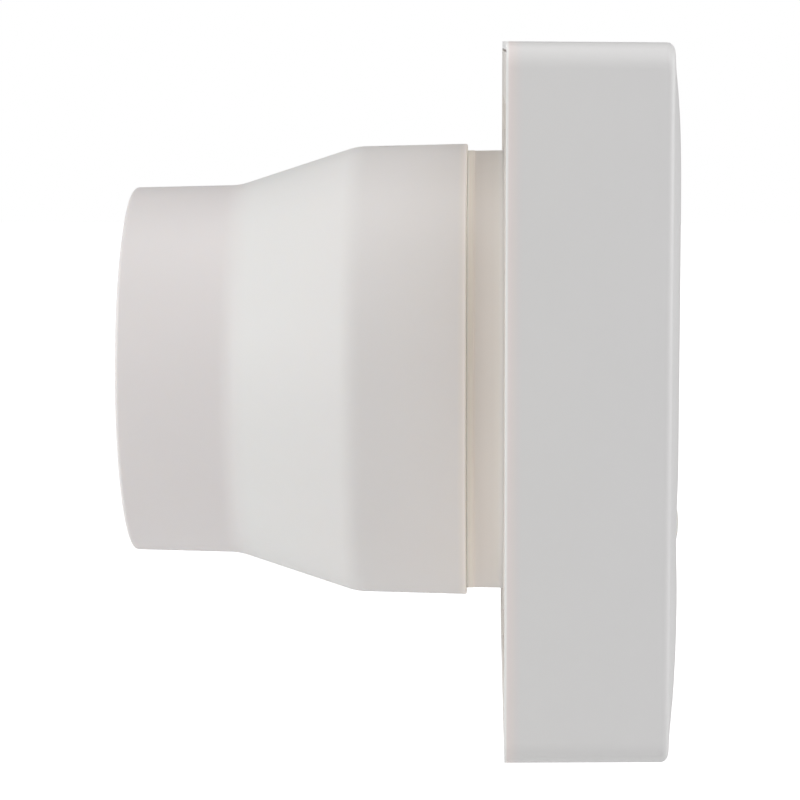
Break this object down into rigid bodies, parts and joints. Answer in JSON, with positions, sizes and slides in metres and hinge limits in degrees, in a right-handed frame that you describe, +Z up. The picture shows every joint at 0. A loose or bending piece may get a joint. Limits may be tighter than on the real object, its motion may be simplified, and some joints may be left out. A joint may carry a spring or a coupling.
{
  "type": "bathroom extractor fan",
  "caption": "Wall extractor fan with a square shallow casing, softly domed front, round spigot with a backdraught shutter, and a tapered adaptor to a smaller duct.",
  "frame": {"origin": "on the duct axis in the plane of the wall, at the back plate's rear face", "axes": "+X out of the wall into the room, -X along the duct into the wall, +Z up"},
  "size_m": [0.1475, 0.1768, 0.1768],
  "materials": {
    "white_plastic": "satin moulded ABS, white",
    "ivory_plastic": "satin moulded polypropylene, warm white, faintly translucent",
    "grey_plastic": "satin moulded nylon, mid grey",
    "black_plastic": "satin moulded plastic, black",
    "blue_plastic": "glossy moulded plastic, blue",
    "lens_plastic": "milky moulded polyethylene lens",
    "rubber": "soft matt rubber, black",
    "steel": "bright zinc-plated steel",
    "lamination_steel": "stacked electrical steel sheets",
    "zinc": "die-cast zinc alloy, dull",
    "copper": "enamelled copper",
    "board_green": "glass-fibre board with green solder mask"
  },
  "bodies": {
    "housing": {"back_plate": "white_plastic", "fan_duct": "white_plastic", "control_cover": "white_plastic", "terminal_block": "white_plastic", "cable_clamp": "white_plastic", "motor_bracket": "grey_plastic", "coil_bobbin": "black_plastic", "relay": "black_plastic", "smoothing_capacitor": "black_plastic", "motor_lead_2": "black_plastic", "film_capacitor": "blue_plastic", "trimmer_base_1": "blue_plastic", "trimmer_base_2": "blue_plastic", "motor_lead_1": "blue_plastic", "rubber_bush_1": "rubber", "rubber_bush_2": "rubber", "rubber_bush_3": "rubber", "cable_grommet": "rubber", "duct_screw_1": "steel", "duct_screw_2": "steel", "duct_screw_3": "steel", "duct_screw_4": "steel", "bracket_screw_1": "steel", "bracket_screw_2": "steel", "bracket_screw_3": "steel", "motor_screw_1": "steel", "motor_screw_2": "steel", "board_screw_1": "steel", "board_screw_2": "steel", "terminal_screw_1": "steel", "terminal_screw_2": "steel", "terminal_screw_3": "steel", "clamp_screw_1": "steel", "clamp_screw_2": "steel", "rear_bearing": "steel", "front_bearing": "steel", "shutter_pin": "steel", "sensor_can": "steel", "stator_core": "lamination_steel", "rear_bearing_housing": "zinc", "front_bearing_housing": "zinc", "coil_winding": "copper", "shading_ring_left": "copper", "shading_ring_right": "copper", "circuit_board": "board_green"},
    "cover": {"front_cover": "white_plastic", "sensor_lens": "lens_plastic"},
    "adaptor": {"duct_adaptor": "ivory_plastic"},
    "rotor": {"rotor_core": "lamination_steel", "motor_shaft": "steel", "impeller": "grey_plastic", "impeller_clip": "steel"},
    "flap_left": {"shutter_flap_left": "grey_plastic", "shutter_spring_left": "steel"},
    "flap_right": {"shutter_flap_right": "grey_plastic", "shutter_spring_right": "steel"},
    "timer_knob": {"timer_trimmer": "white_plastic"},
    "light_knob": {"light_trimmer": "white_plastic"}
  },
  "joints": [
    {"name": "impeller_spin", "type": "hinge", "parent": "housing", "child": "rotor", "pos_m": [0, 0, 0], "axis": [1, 0, 0], "continuous": true},
    {"name": "flap_left_swing", "type": "hinge", "parent": "housing", "child": "flap_left", "pos_m": [-0.0346, 0, 0], "axis": [0, 0, -1], "range_deg": [0, 75], "stiffness_Nm_per_rad": 0.0006},
    {"name": "flap_right_swing", "type": "hinge", "parent": "housing", "child": "flap_right", "pos_m": [-0.0346, 0, 0], "axis": [0, 0, 1], "range_deg": [0, 75], "stiffness_Nm_per_rad": 0.0006},
    {"name": "cover_pull", "type": "slide", "parent": "housing", "child": "cover", "axis": [1, 0, 0], "range_m": [0, 0.1]},
    {"name": "adaptor_pull", "type": "slide", "parent": "housing", "child": "adaptor", "axis": [-1, 0, 0], "range_m": [0, 0.04]},
    {"name": "timer_turn", "type": "hinge", "parent": "housing", "child": "timer_knob", "pos_m": [0.0259, 0.022, -0.0655], "axis": [1, 0, 0], "range_deg": [-135, 135]},
    {"name": "light_turn", "type": "hinge", "parent": "housing", "child": "light_knob", "pos_m": [0.0259, 0.033, -0.0655], "axis": [1, 0, 0], "range_deg": [-135, 135]}
  ]
}
